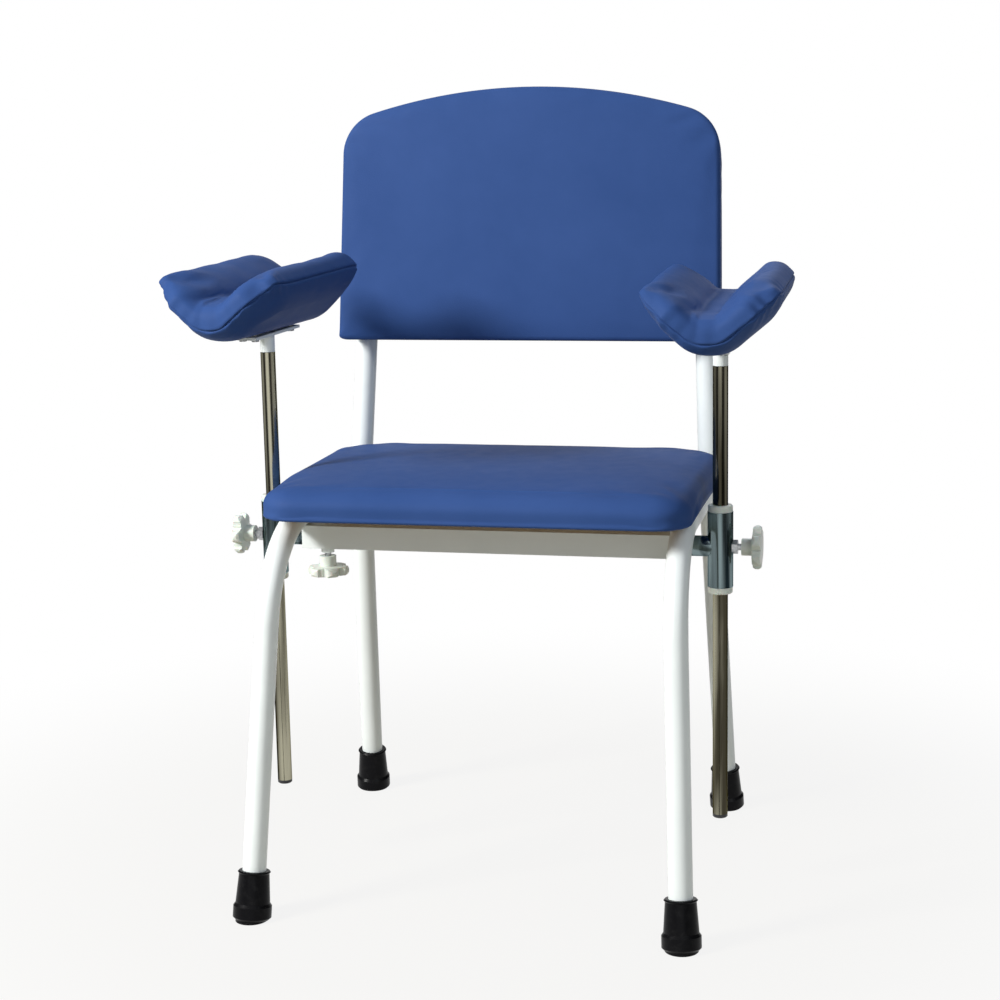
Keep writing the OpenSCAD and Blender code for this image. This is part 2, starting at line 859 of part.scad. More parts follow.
// Lobed head with domed faces over a round hub
module knob_form() {
    difference() {
        union() {
            cylinder(d = hub_d, h = hub_len + knob_t / 2);
            intersection() {
                translate([0, 0, hub_len])
                    linear_extrude(knob_t)
                        knob_outline();
                translate([0, 0, hub_len])
                    rotate_extrude()
                        polygon([
                            [0, 0],
                            [hub_d / 2, 0],
                            [knob_d / 2 - knob_dish, knob_dish / 2],
                            [knob_d / 2, 2 * knob_dish],
                            [knob_d / 2, knob_t - 2 * knob_dish],
                            [knob_d / 2 - knob_dish, knob_t - knob_dish / 2],
                            [hub_d / 2, knob_t],
                            [0, knob_t]
                        ]);
            }
        }
        translate([0, 0, -over])
            cylinder(d = stud_d + 2 * run_gap, h = stud_seat + over + seat_gap);
    }
}

// Puts children on a sleeve clamp's axis, with Z pointing out of the nut
module at_sleeve_clamp(side) {
    at_sleeve(side)
        translate([nut_face, 0, beam_h])
            rotate([0, 90, 0])
                children();
}

module at_beam_clamp() {
    translate([-beam_stud_x, arm_y, beam_top - beam_side - nut_t])
        rotate([180, 0, 0])
            children();
}

module sleeve_stud(side) {
    color(zinc)
        at_sleeve_clamp(side)
            stud_form(nut_face - rod_d / 2 - tip_gap);
}

module sleeve_knob(side, turn) {
    color(nylon)
        at_sleeve_clamp(side)
            translate([0, 0, stud_show])
                rotate([0, 0, turn])
                    knob_form();
}

module beam_stud() {
    color(zinc)
        at_beam_clamp()
            stud_form(nut_t + beam_wall + slider_gap - tip_gap);
}

module beam_knob() {
    color(nylon)
        at_beam_clamp()
            translate([0, 0, stud_show])
                knob_form();
}

function rod_top(side) = side < 0 ? right_rod_top : left_rod_top;
function swivel(side) = side < 0 ? -right_swivel : -left_swivel;

// Chromed tube, open above for the pad's spigot and below for its plug
module arm_rod(side) {
    color(chromed)
        translate([side * rod_offset, arm_y, rod_top(side) - rod_len])
            tube(rod_len, rod_d, rod_bore);
}

rod_plug_grip = 16;
module rod_plug(side) {
    color(black)
        translate([side * rod_offset, arm_y, rod_top(side) - rod_len]) {
            rotate_extrude()
                polygon([
                    [0, -rod_plug_show],
                    [rod_d / 2 - bush_edge, -rod_plug_show],
                    [rod_d / 2, -rod_plug_show + bush_edge],
                    [rod_d / 2, 0],
                    [0, 0]
                ]);
            cylinder(d = rod_bore - 2 * seat_gap, h = rod_plug_grip);
        }
}

// Puts children on a rod's top, turned with its pad
module at_post(side) {
    translate([side * rod_offset, arm_y, rod_top(side)])
        rotate([0, 0, swivel(side)])
            children();
}

// Puts children on the plate's underside: X across the pad, Y back along it
module at_pad(side) {
    at_post(side)
        translate([0, 0, post_h])
            rotate([pad_tilt, 0, 0])
                children();
}

pad_screw_x_share = 0.27;
pad_screw_y_share = 0.4;
pad_screw_x = plate_w * pad_screw_x_share;
pad_screw_y = plate_len * pad_screw_y_share;
module at_pad_screws() {
    for (x = [-pad_screw_x, pad_screw_x])
        for (y = [-pad_screw_y, pad_screw_y])
            translate([x, y, 0])
                children();
}

// Post that stands on the rod and turns in it, welded under a thin plate
module pad_post(side) {
    color(white) {
        difference() {
            at_post(side) {
                translate([0, 0, tip_gap])
                    cylinder(d = post_d, h = post_h + plate_t - tip_gap);
                translate([0, 0, -spigot_len])
                    cylinder(d = rod_bore - 2 * run_gap, h = spigot_len + post_h);
            }
            at_pad(side)
                translate([-post_d, -post_d, plate_t / 2])
                    cube([2 * post_d, 2 * post_d, post_d]);
        }
        at_pad(side)
            difference() {
                translate([-plate_w / 2, -plate_len / 2, 0])
                    cube([plate_w, plate_len, plate_t]);
                at_pad_screws()
                    translate([0, 0, -over])
                        cylinder(d = pad_screw_d + 2 * hole_gap, h = plate_t + 2 * over);
            }
    }
}

// Middle surface of a pad at a distance s over the curve from its middle: flat
// foot, bend, then straight wing. A pad thins evenly towards its wing tips.
bend_r = trough_bend_w * 180 / (PI * wing_angle);
function bent(s) = min(max(abs(s) - trough_flat_half_w, 0), trough_bend_w);
function straight(s) = max(abs(s) - trough_flat_half_w - trough_bend_w, 0);
function bend_at(s) = wing_angle * bent(s) / trough_bend_w;
function bend_x(s) = min(abs(s), trough_flat_half_w) + bend_r * sin(bend_at(s))
    + straight(s) * cos(wing_angle);
function bend_h(s) = bend_r * (1 - cos(bend_at(s))) + straight(s) * sin(wing_angle);
function thinned(s, h) = h * (1 - (1 - pad_tip_share) * abs(s) / pad_half_w);
function bend_point(s, y, h) =
    [sign(s) * (bend_x(s) - thinned(s, h) * sin(bend_at(s))), y,
        bend_h(s) + thinned(s, h) * cos(bend_at(s))];

// Closed outline through corner points, each rounded by a curve that starts
// and ends at a reach from the corner, with points along the straight sides
pad_corner_steps = 3;
pad_side_steps = 3;
function toward(p, q, reach) = p + (q - p) / norm(q - p) * min(reach, norm(q - p) / 3);
function rounded_loop(pts, reach) =
    let (n = len(pts))
        [for (i = [0:n - 1])
            let (p = pts[i], a = toward(p, pts[(i + n - 1) % n], reach),
                b = toward(p, pts[(i + 1) % n], reach),
                c = toward(pts[(i + 1) % n], p, reach))
                each concat(
                    [for (k = [0:pad_corner_steps]) let (t = k / pad_corner_steps)
                        (1 - t) * (1 - t) * a + 2 * t * (1 - t) * p + t * t * b],
                    [for (k = [1:pad_side_steps - 1]) b + (c - b) * k / pad_side_steps]
                )];

// Flat outline of a pad drawn in by d: eight sides with rounded corners
function pad_ring(d) =
    let (w = pad_half_w - d, c = pad_prow_half_w * w / pad_half_w,
        f = pad_front_len - d, r = pad_rear_len - d, e = pad_edge_half_len - d)
        rounded_loop([[w, -e], [w, e], [c, r], [-c, r], [-w, e], [-w, -e], [-c, -f], [c, -f]],
            pad_corner_r);

pad_round = pad_t / 2;
pad_shares = [0.86, 0.7, 0.54, 0.38, 0.22, 0.1];
pad_edge_angles = [-60, -30, 0, 30, 60];
pad_flat_ring = pad_ring(pad_edge_reach);
pad_rings = concat(
    [for (k = [len(pad_shares) - 1:-1:0]) let (f = pad_shares[k])
        [for (p = pad_flat_ring) bend_point(p[0] * f, p[1] * f, -pad_round)]],
    [[for (p = pad_flat_ring) bend_point(p[0], p[1], -pad_round)]],
    [for (a = pad_edge_angles)
        [for (p = pad_ring(pad_edge_reach * (1 - cos(a))))
            bend_point(p[0], p[1], pad_round * sin(a))]],
    [[for (p = pad_flat_ring) bend_point(p[0], p[1], pad_round)]],
    [for (f = pad_shares)
        [for (p = pad_flat_ring)
            bend_point(p[0] * f, p[1] * f, pad_round + pad_crown * (1 - f * f))]]
);

// Saddle plate inside the pad: flat middle with two folded wings, one skin above
// the pad's underside
pad_skin = 2;
board_steps = 12;
board_reach_share = 0.6;
board_reach = pad_half_w * board_reach_share;
board_half_len = pad_edge_half_len - pad_edge_reach;
function board_point(s, h) = let (p = bend_point(s, 0, -pad_mid + pad_skin), a = bend_at(s))
    [p[0] - sign(s) * h * sin(a), p[2] + h * cos(a)];
module saddle_section(grow) {
    reach = board_reach + grow;
    across = [for (i = [-board_steps:board_steps]) reach * i / board_steps];
    polygon(concat(
        [for (s = across) board_point(s, -grow)],
        [for (i = [len(across) - 1:-1:0]) board_point(across[i], pad_board_t + grow)]
    ));
}

module pad_board(side) {
    color(zinc)
        at_pad(side)
            translate([0, 0, plate_t + pad_mid])
                difference() {
                    translate([0, board_half_len, 0])
                        rotate([90, 0, 0])
                            linear_extrude(2 * board_half_len)
                                saddle_section(0);
                    at_pad_screws()
                        translate([0, 0, -pad_t])
                            cylinder(d = pad_screw_d, h = 2 * pad_t);
                }
}

module arm_pad(side) {
    color(vinyl)
        at_pad(side)
            translate([0, 0, plate_t + pad_mid])
                difference() {
                    ring_solid(pad_rings, [0, 0, -pad_round], [0, 0, pad_round + pad_crown]);
                    translate([0, board_half_len + seat_gap, 0])
                        rotate([90, 0, 0])
                            linear_extrude(2 * board_half_len + 2 * seat_gap)
                                saddle_section(seat_gap);
                    at_pad_screws()
                        translate([0, 0, -pad_t])
                            cylinder(d = pad_screw_d + 2 * hole_gap, h = pad_screw_reach);
                }
}

pad_screw_reach = pad_t - pad_mid + pad_skin + pad_board_t + 2 * hole_gap;
pad_screw_head_t = head_t_share * pad_screw_d;
module pad_screws(side) {
    color(zinc)
        at_pad(side)
            at_pad_screws() {
                translate([0, 0, -pad_screw_head_t])
                    cylinder(d = head_d_share * pad_screw_d, h = pad_screw_head_t);
                cylinder(d = pad_screw_d, h = plate_t + pad_skin + pad_board_t);
            }
}

side_frame(1);  // side_frame_left
side_frame(-1);  // side_frame_right
rear_upright(1);  // rear_upright_left
rear_upright(-1);  // rear_upright_right
arm_beam();
rear_crossbar();
ferrule(1, 0, front_rake);  // ferrule_front_left
ferrule(-1, 0, front_rake);  // ferrule_front_right
ferrule(1, wheelbase, -rear_rake);  // ferrule_rear_left
ferrule(-1, wheelbase, -rear_rake);  // ferrule_rear_right
upright_plugs();
seat_board();
seat_cushion();
seat_screws();
backrest_board();
backrest_cushion();
backrest_bolts();
beam_nut();
sleeve(1, stub_grip);  // sleeve_left
upper_bush(1);  // upper_bush_left
lower_bush(1);  // lower_bush_left
sleeve_nut(1);  // sleeve_nut_left
sleeve(-1, slider_grip);  // sleeve_right
upper_bush(-1);  // upper_bush_right
lower_bush(-1);  // lower_bush_right
sleeve_nut(-1);  // sleeve_nut_right
sleeve_stud(1);  // sleeve_stud_left
sleeve_knob(1, 0);  // sleeve_knob_left
sleeve_stud(-1);  // sleeve_stud_right
sleeve_knob(-1, 180 / knob_lobes);  // sleeve_knob_right
beam_stud();
beam_knob();
arm_rod(1);  // arm_rod_left
rod_plug(1);  // rod_plug_left
arm_rod(-1);  // arm_rod_right
rod_plug(-1);  // rod_plug_right
pad_post(1);  // pad_post_left
pad_board(1);  // pad_board_left
arm_pad(1);  // arm_pad_left
pad_screws(1);  // pad_screws_left
pad_post(-1);  // pad_post_right
pad_board(-1);  // pad_board_right
arm_pad(-1);  // arm_pad_right
pad_screws(-1);  // pad_screws_right
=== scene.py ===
"""Phlebotomy chair: finishes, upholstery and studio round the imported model.

Metres, +Z up, origin on the floor midway between the feet. The sitter faces -Y.
"""

import json
import math

import bmesh
import bpy
import numpy as np
from mathutils import Matrix, Vector


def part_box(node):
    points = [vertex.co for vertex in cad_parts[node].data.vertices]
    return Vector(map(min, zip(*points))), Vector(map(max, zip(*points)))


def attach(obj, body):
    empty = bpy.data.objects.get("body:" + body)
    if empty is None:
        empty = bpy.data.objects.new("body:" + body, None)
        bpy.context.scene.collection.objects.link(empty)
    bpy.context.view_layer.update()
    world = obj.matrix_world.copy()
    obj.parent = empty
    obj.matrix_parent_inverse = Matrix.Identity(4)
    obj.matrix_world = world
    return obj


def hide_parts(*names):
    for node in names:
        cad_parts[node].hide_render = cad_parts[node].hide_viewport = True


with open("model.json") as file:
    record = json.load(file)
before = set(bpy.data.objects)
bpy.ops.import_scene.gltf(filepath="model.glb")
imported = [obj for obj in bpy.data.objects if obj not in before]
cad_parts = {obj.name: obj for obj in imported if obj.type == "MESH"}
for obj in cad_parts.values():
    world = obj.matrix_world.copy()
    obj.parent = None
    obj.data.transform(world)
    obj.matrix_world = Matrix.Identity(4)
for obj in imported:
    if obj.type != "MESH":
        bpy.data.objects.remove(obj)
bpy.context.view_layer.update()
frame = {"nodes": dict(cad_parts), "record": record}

MM = 0.001
SIDES = {"left": 1, "right": -1}

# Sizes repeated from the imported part, in millimetres
RAIL_TOP = 415.05
ARM_Y = -46.992
ROD_X = 245.0
ROD_TOP = {"left": 567.5, "right": 578.5}
SWIVEL = {"left": 0.0, "right": -11.0}
POST_H = 19.5
PLATE_T = 3.0
PAD_TILT = 3.0
RECLINE = 7.5
BACK_FOOT = 568.0


# Geometry helpers


def turn(axis, degrees):
    """Rotation matrix about a named axis, as numpy."""
    return np.array(Matrix.Rotation(math.radians(degrees), 3, axis))


def new_piece(name, verts_mm, faces, body):
    """A smooth mesh piece with its place in its vertices, riding on a body."""
    mesh = bpy.data.meshes.new(name)
    verts = np.asarray(verts_mm, float) * MM
    faces = np.asarray(faces, int)
    corners = faces.shape[1]
    mesh.vertices.add(len(verts))
    mesh.vertices.foreach_set("co", verts.astype(np.float32).ravel())
    mesh.loops.add(faces.size)
    mesh.loops.foreach_set("vertex_index", faces.astype(np.int32).ravel())
    mesh.polygons.add(len(faces))
    mesh.polygons.foreach_set("loop_start", np.arange(0, faces.size, corners, dtype=np.int32))
    mesh.update(calc_edges=True)
    mesh.validate()
    obj = bpy.data.objects.new(name, mesh)
    bpy.context.scene.collection.objects.link(obj)
    mesh.polygons.foreach_set("use_smooth", np.ones(len(mesh.polygons), bool))
    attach(obj, body)
    return obj


def grid_faces(rows, cols):
    """Quads between rows of points; each row closes on itself."""
    r, c = np.meshgrid(np.arange(rows - 1), np.arange(cols), indexing="ij")
    d = (c + 1) % cols
    return np.stack([r * cols + c, r * cols + d, (r + 1) * cols + d, (r + 1) * cols + c],
                    -1).reshape(-1, 4)


def coons(loop):
    """Grid of points over a closed loop of 4 n points, as a Coons patch.

    A point is a straight blend between the loop's two long sides, plus one between its
    two other sides, less the blend of the four corners. The loop runs along v = 0,
    u = 1, v = 1 backwards and u = 0 backwards.
    """
    n = len(loop) // 4
    u = np.linspace(0, 1, n + 1)[:, None, None]
    v = np.linspace(0, 1, n + 1)[None, :, None]
    closed = np.vstack([loop, loop[:1]])
    low, right = closed[:n + 1], closed[n:2 * n + 1]
    high, left = closed[2 * n:3 * n + 1][::-1], closed[3 * n:][::-1]
    across = (1 - v) * low[:, None] + v * high[:, None]
    along = (1 - u) * left[None] + u * right[None]
    corners = ((1 - u) * ((1 - v) * low[0] + v * high[0]) + u * ((1 - v) * low[-1] + v * high[-1]))
    return across + along - corners


def closed_form(foot, rings, top):
    """Points and quads of a cushion: a foot panel, rings up its side and a top panel.

    rings is (rows, 4 n, 3). foot and top are (n + 1, n + 1, 3) grids, whose rims are the
    first and the last ring and share their points.
    """
    rows, cols = rings.shape[:2]
    n = cols // 4
    inner = (n - 1) ** 2
    points = np.vstack([rings.reshape(-1, 3), foot[1:-1, 1:-1].reshape(-1, 3),
                        top[1:-1, 1:-1].reshape(-1, 3)])
    ids = np.arange(rows * cols).reshape(rows, cols)
    faces = [grid_faces(rows, cols)]
    side = np.arange(n)
    for row, first in ((0, rows * cols), (rows - 1, rows * cols + inner)):
        rim = ids[row]
        panel = np.empty((n + 1, n + 1), int)
        panel[side, 0] = rim[:n]
        panel[n, side] = rim[n:2 * n]
        panel[n - side, n] = rim[2 * n:3 * n]
        panel[0, n - side] = rim[3 * n:]
        panel[1:-1, 1:-1] = first + np.arange(inner).reshape(n - 1, n - 1)
        faces.append(np.stack([panel[:-1, :-1], panel[1:, :-1], panel[1:, 1:], panel[:-1, 1:]],
                              -1).reshape(-1, 4))
    return points, np.vstack(faces)


def face_out(obj):
    """Turns every face of a closed form outwards."""
    work = bmesh.new()
    work.from_mesh(obj.data)
    bmesh.ops.recalc_face_normals(work, faces=work.faces)
    work.to_mesh(obj.data)
    work.free()
    return obj


def get_points(obj):
    """The mesh's points in millimetres."""
    co = np.empty(len(obj.data.vertices) * 3, np.float32)
    obj.data.vertices.foreach_get("co", co)
    return co.reshape(-1, 3) / MM


def push_out(obj, amount_mm):
    """Moves each point along its normal by its own amount."""
    normal = np.empty(len(obj.data.vertices) * 3, np.float32)
    obj.data.vertex_normals.foreach_get("vector", normal)
    moved = get_points(obj) + normal.reshape(-1, 3) * np.asarray(amount_mm)[:, None]
    obj.data.vertices.foreach_set("co", (moved * MM).astype(np.float32).ravel())
    obj.data.update()
    return obj


def outward(loop):
    """Unit outward normals of a counter-clockwise loop, square to each point's chord."""
    chord = np.roll(loop, -1, 0) - np.roll(loop, 1, 0)
    n = np.stack([chord[:, 1], -chord[:, 0]], -1)
    return n / np.linalg.norm(n, axis=1, keepdims=True)


def four_sides(outline, corners, n):
    """A closed outline again as 4 n points, n even steps from each corner to the next."""
    starts = [int(np.argmin(np.linalg.norm(outline - c, axis=1))) for c in corners]
    parts = []
    for a, b in zip(starts, starts[1:] + starts[:1]):
        span = outline[a:b + 1] if a < b else np.vstack([outline[a:], outline[:b + 1]])
        step = np.linalg.norm(np.diff(span, axis=0), axis=1)
        run = np.concatenate([[0], np.cumsum(step)])
        at = np.linspace(0, run[-1], n, endpoint=False)
        parts.append(np.stack([np.interp(at, run, span[:, k]) for k in range(2)], -1))
    return np.vstack(parts)


def soften(loop, reach):
    """A closed loop averaged along itself with bell-shaped weights, reach in points."""
    k = np.arange(-3 * reach, 3 * reach + 1)
    weight = np.exp(-0.5 * (k / reach) ** 2)
    weight /= weight.sum()
    return sum(w * np.roll(loop, int(s), 0) for w, s in zip(weight, k))


def resample(points, count):
    """The closed outline again, as count points at even steps along it."""
    closed = np.vstack([points, points[:1]])
    step = np.linalg.norm(np.diff(closed, axis=0), axis=1)
    run = np.concatenate([[0], np.cumsum(step)])
    t = np.linspace(0, run[-1], count, endpoint=False)
    return np.stack([np.interp(t, run, closed[:, k]) for k in range(2)], -1)


def rounded(corners, radii, steps=12):
    """Closed outline through corners, each rounded by an arc that touches both sides."""
    corners = np.asarray(corners, float)
    out = []
    for i, (p, r) in enumerate(zip(corners, radii)):
        a = corners[i - 1] - p
        b = corners[(i + 1) % len(corners)] - p
        a, b = a / np.linalg.norm(a), b / np.linalg.norm(b)
        half = math.acos(np.clip(a @ b, -1, 1)) / 2
        reach = r / math.tan(half)
        centre = p + (a + b) / np.linalg.norm(a + b) * r / math.sin(half)
        start = p + a * reach - centre
        sweep = math.pi - 2 * half
        sign = 1 if a[0] * b[1] - a[1] * b[0] < 0 else -1
        for t in np.linspace(0, sweep, steps):
            c, s = math.cos(t), math.sin(t) * sign
            out.append(centre + [start[0] * c - start[1] * s, start[0] * s + start[1] * c])
    return np.array(out)


# Materials


class Value:
    """A socket in a material, with arithmetic that adds Math nodes."""

    def __init__(self, tree, socket):
        self.tree = tree
        self.socket = socket

    def _math(self, operation, *others):
        made = self.tree.nodes.new("ShaderNodeMath")
        made.operation = operation
        for i, v in enumerate(others):
            if isinstance(v, Value):
                self.tree.links.new(v.socket, made.inputs[i])
            else:
                made.inputs[i].default_value = v
        return Value(self.tree, made.outputs[0])

    def __add__(self, other):
        return self._math("ADD", self, other)

    def __radd__(self, other):
        return self._math("ADD", other, self)

    def __mul__(self, other):
        return self._math("MULTIPLY", self, other)

    def __rmul__(self, other):
        return self._math("MULTIPLY", other, self)


class Nodes:
    """A node tree, with one method that adds any node."""

    def __init__(self, tree):
        self.tree = tree

    def node(self, kind, settings=None, output=0, **inputs):
        """Any node: its settings or a ramp's stops first, then its sockets' values or links."""
        made = self.tree.nodes.new("ShaderNode" + kind)
        for key, v in (settings or {}).items():
            if key == "stops":
                edge = made.color_ramp.elements
                while len(edge) < len(v):
                    edge.new(0.5)
                for e, (at, colour) in zip(edge, v):
                    e.position = at
                    e.color = (*colour, 1)
            else:
                setattr(made, key, v)
        for key, v in inputs.items():
            socket = made.inputs[int(key[1:])] if key[1:].isdigit() \
                else made.inputs[key.replace("_", " ")]
            if isinstance(v, Value):
                self.tree.links.new(v.socket, socket)
            else:
                socket.default_value = v
        return Value(self.tree, made.outputs[output]) if made.outputs else None


class Finish(Nodes):
    """A material round one Principled shader, with fixed numbers set on its sockets."""

    def __init__(self, name, **fixed):
        self.material = bpy.data.materials.new(name)
        self.material.use_nodes = True
        super().__init__(self.material.node_tree)
        self.shader = self.tree.nodes["Principled BSDF"]
        for key, v in fixed.items():
            self.shader.inputs[key.replace("_", " ")].default_value = v
        self.place = self.node("TexCoord", output=3)

    def noise(self, scale, detail=3.0, roughness=0.5, vector=None):
        return self.node("TexNoise", Vector=vector or self.place, Scale=scale, Detail=detail,
                         Roughness=roughness)

    def stretched(self, x, y, z):
        """Object coordinates scaled along each axis, for grain and drawing lines."""
        return self.node("Mapping", {"vector_type": "POINT"}, Vector=self.place,
                         Scale=(x, y, z))

    def ramp(self, value, *stops):
        """Colour at positions along a value; stops are (position, colour) pairs."""
        return self.node("ValToRGB", {"stops": stops}, Fac=value)

    def feed(self, socket, value):
        self.tree.links.new(value.socket, self.shader.inputs[socket])

    def bump(self, height, strength, distance):
        self.feed("Normal", self.node("Bump", Height=height, Strength=strength,
                                      Distance=distance))


def vinyl():
    """Blue furniture vinyl: fine pebbled grain, nearly matt, slightly mottled."""
    f = Finish("blue_vinyl", IOR=1.45, Specular_IOR_Level=0.06)
    tone = f.noise(7, 4, 0.62)
    f.feed("Base Color", f.ramp(tone, (0.3, (0.030, 0.071, 0.220)), (0.7, (0.038, 0.084, 0.251))))
    f.feed("Roughness", 0.5 + 0.14 * f.noise(60, 2))
    cells = f.node("TexVoronoi", {"feature": "SMOOTH_F1"}, Vector=f.place, Scale=900.0,
                   Smoothness=0.6)
    f.bump(cells * 0.7 + f.noise(420, 3) * 0.6, 0.25, 0.0004)
    return f.material


def powder_coat():
    """White powder coat: fine orange peel, and a faint grey where it thins."""
    f = Finish("white_powder_coat", IOR=1.5, Specular_IOR_Level=0.4)
    f.feed("Base Color", f.ramp(f.noise(14, 3), (0.3, (0.84, 0.89, 0.89)),
                                (0.7, (0.88, 0.93, 0.93))))
    f.feed("Roughness", 0.28 + 0.1 * f.noise(40, 2))
    f.bump(f.noise(700, 2, 0.4), 0.12, 0.0003)
    return f.material


def chrome_with_painted_reflections(name, reflection_dark, light, scale, tint):
    """Chrome on drawn tube: painted reflections as long bands between two tones, and fine
    lengthways lines.
    """
    f = Finish(name, Metallic=1.0, Specular_Tint=(*tint, 1))
    painted_reflections = f.noise(scale, 1, 0.4, f.stretched(1, 1, 0.04))
    lines = f.noise(1400, 2, 0.5, f.stretched(1, 1, 0.02))
    # Base colour is painted reflection: bands between the dark and the light tone, plus the real
    # drawing lines
    f.feed("Base Color", f.ramp(painted_reflections + 0.12 * lines, (0.42, reflection_dark), (0.66, light)))
    f.feed("Roughness", 0.07 + 0.12 * lines)
    f.bump(lines, 0.04, 0.0001)
    return f.material


def black_rubber():
    """Moulded black rubber with a greasy shine and faint dust."""
    f = Finish("black_rubber", IOR=1.5, Specular_IOR_Level=0.08)
    dust = f.noise(120, 5, 0.65)
    f.feed("Base Color", f.ramp(dust, (0.5, (0.004, 0.004, 0.005)), (0.85, (0.014, 0.014, 0.015))))
    f.feed("Roughness", 0.2 + 0.22 * dust)
    f.bump(f.noise(300, 3), 0.12, 0.0004)
    return f.material


def white_nylon():
    """Slightly greenish white moulded nylon."""
    f = Finish("white_nylon", IOR=1.5, Specular_IOR_Level=0.35, Subsurface_Weight=0.1,
               Subsurface_Scale=0.004)
    f.feed("Base Color", f.ramp(f.noise(90, 3), (0.3, (0.70, 0.75, 0.69)),
                                (0.7, (0.77, 0.81, 0.75))))
    f.feed("Roughness", 0.28 + 0.12 * f.noise(70, 2))
    f.bump(f.noise(500, 2), 0.08, 0.0002)
    return f.material


def zinc_steel():
    """Bright zinc plate on nuts, studs and screws."""
    f = Finish("zinc_plate", Metallic=1.0)
    spangle = f.noise(400, 3, 0.6)
    f.feed("Base Color", f.ramp(spangle, (0.3, (0.26, 0.27, 0.28)), (0.7, (0.50, 0.51, 0.52))))
    f.feed("Roughness", 0.2 + 0.2 * spangle)
    f.bump(spangle, 0.1, 0.0001)
    return f.material


def black_plastic():
    """Black moulded end plugs."""
    f = Finish("black_plastic", IOR=1.5)
    f.feed("Base Color", f.ramp(f.noise(150, 3), (0.3, (0.012, 0.012, 0.014)),
                                (0.7, (0.022, 0.022, 0.025))))
    f.feed("Roughness", 0.36 + 0.15 * f.noise(200, 2))
    return f.material


def plywood():
    """Birch ply: long grain along X with darker pores."""
    f = Finish("birch_ply", IOR=1.45)
    grain = f.noise(8, 5, 0.6, f.stretched(1.5, 22, 22))
    f.feed("Base Color", f.ramp(grain, (0.3, (0.20, 0.12, 0.06)), (0.7, (0.38, 0.26, 0.15))))
    f.feed("Roughness", 0.55 + 0.2 * grain)
    f.bump(grain, 0.15, 0.0005)
    return f.material


VINYL = vinyl()
PAINT = powder_coat()
# Painted reflection tones: dark flanks with a warm olive streak on the rods and a cool streak on
# the sleeves
CHROME = chrome_with_painted_reflections("rod_chrome", (0.05, 0.045, 0.03), (0.46, 0.44, 0.33), 75,
                      (0.25, 0.24, 0.2))
SLEEVE = chrome_with_painted_reflections("sleeve_chrome", (0.010, 0.018, 0.022), (0.20, 0.26, 0.27), 95,
                      (0.3, 0.32, 0.33))
RUBBER = black_rubber()
NYLON = white_nylon()
ZINC = zinc_steel()
PLUG = black_plastic()
PLY = plywood()
BY_SLOT = {"frame_paint": PAINT, "vinyl": VINYL, "chrome": CHROME, "rubber": RUBBER,
           "white_nylon": NYLON, "zinc_steel": ZINC, "black_plastic": PLUG, "plywood": PLY}


def dress(obj, material):
    obj.data.materials.clear()
    obj.data.materials.append(material)
    return obj


def dress_frame():
    """Every carried-over CAD node gets the finish of its slot."""
    for part in frame["record"]["subparts"]:
        node = frame["nodes"][part["node"]]
        is_sleeve = part["node"].startswith(("sleeve_l", "sleeve_r"))
        dress(node, SLEEVE if is_sleeve else BY_SLOT[part["material_slot"]])


# Upholstery

# Points along each side of a cushion's loop, and frames of cloth simulation
SIDE_POINTS = 60
CLOTH_FRAMES = 20
CLOTH = dict(quality=5, mass=0.35, tension_stiffness=25, compression_stiffness=20,
             shear_stiffness=12, bending_stiffness=2.0, use_pressure=True,
             vertex_group_mass="held")


def settle(obj, cap_mm, pin, pressure):
    """Blows the cover up a little as cloth, with no point moving further than the cap.

    pin is true where the cover is held on its board or by its seam.
    """
    mesh = obj.data
    before = get_points(obj)
    group = obj.vertex_groups.new(name="held")
    group.add(np.flatnonzero(pin).tolist(), 1.0, "REPLACE")
    cloth = obj.modifiers.new("cover", "CLOTH")
    for key, value in CLOTH.items():
        setattr(cloth.settings, key, value)
    cloth.settings.uniform_pressure_force = pressure
    cloth.settings.effector_weights.gravity = 0
    cloth.point_cache.frame_start = 1
    cloth.point_cache.frame_end = CLOTH_FRAMES
    scene = bpy.context.scene
    for f in range(1, CLOTH_FRAMES + 1):
        scene.frame_set(f)
    shown = obj.evaluated_get(bpy.context.evaluated_depsgraph_get())
    after = np.empty(len(shown.data.vertices) * 3, np.float32)
    shown.data.vertices.foreach_get("co", after)
    obj.modifiers.remove(cloth)
    scene.frame_set(1)
    move = after.reshape(-1, 3) / MM - before
    length = np.linalg.norm(move, axis=1, keepdims=True)
    move *= np.minimum(1, cap_mm / np.maximum(length, 1e-6))
    mesh.vertices.foreach_set("co", ((before + move) * MM).astype(np.float32).ravel())
    obj.vertex_groups.remove(group)
    mesh.update()
    return obj


def finish_pad(obj):
    """One subdivision and vinyl."""
    sub = obj.modifiers.new("smooth", "SUBSURF")
    sub.levels = sub.render_levels = 1
    dress(obj, VINYL)
    return obj


def edge_profile(thick, tuck, shoulder, belly=0.0, slant=0.0):
    """(inset, height) pairs up a cushion's edge.

    A tucked foot, a side that leans out from an inset of slant and swells by belly, and
    an elliptical shoulder of (reach, drop).
    """
    reach, drop = shoulder
    low = [(tuck * (1 - math.sin(t)), tuck * (1 - math.cos(t)))
           for t in np.linspace(0, math.pi / 2, 5)]
    side = [(0, h) for h in np.linspace(tuck, thick - drop, 7)[1:-1]]
    top = [(reach * (1 - math.cos(t)), thick - drop + drop * math.sin(t))
           for t in np.linspace(0, math.pi / 2, 11)]
    lean = thick - drop
    return [(inset - belly * math.sin(math.pi * h / thick) + slant * max(0, 1 - h / lean) ** 1.5,
             h) for inset, h in low + side + top]


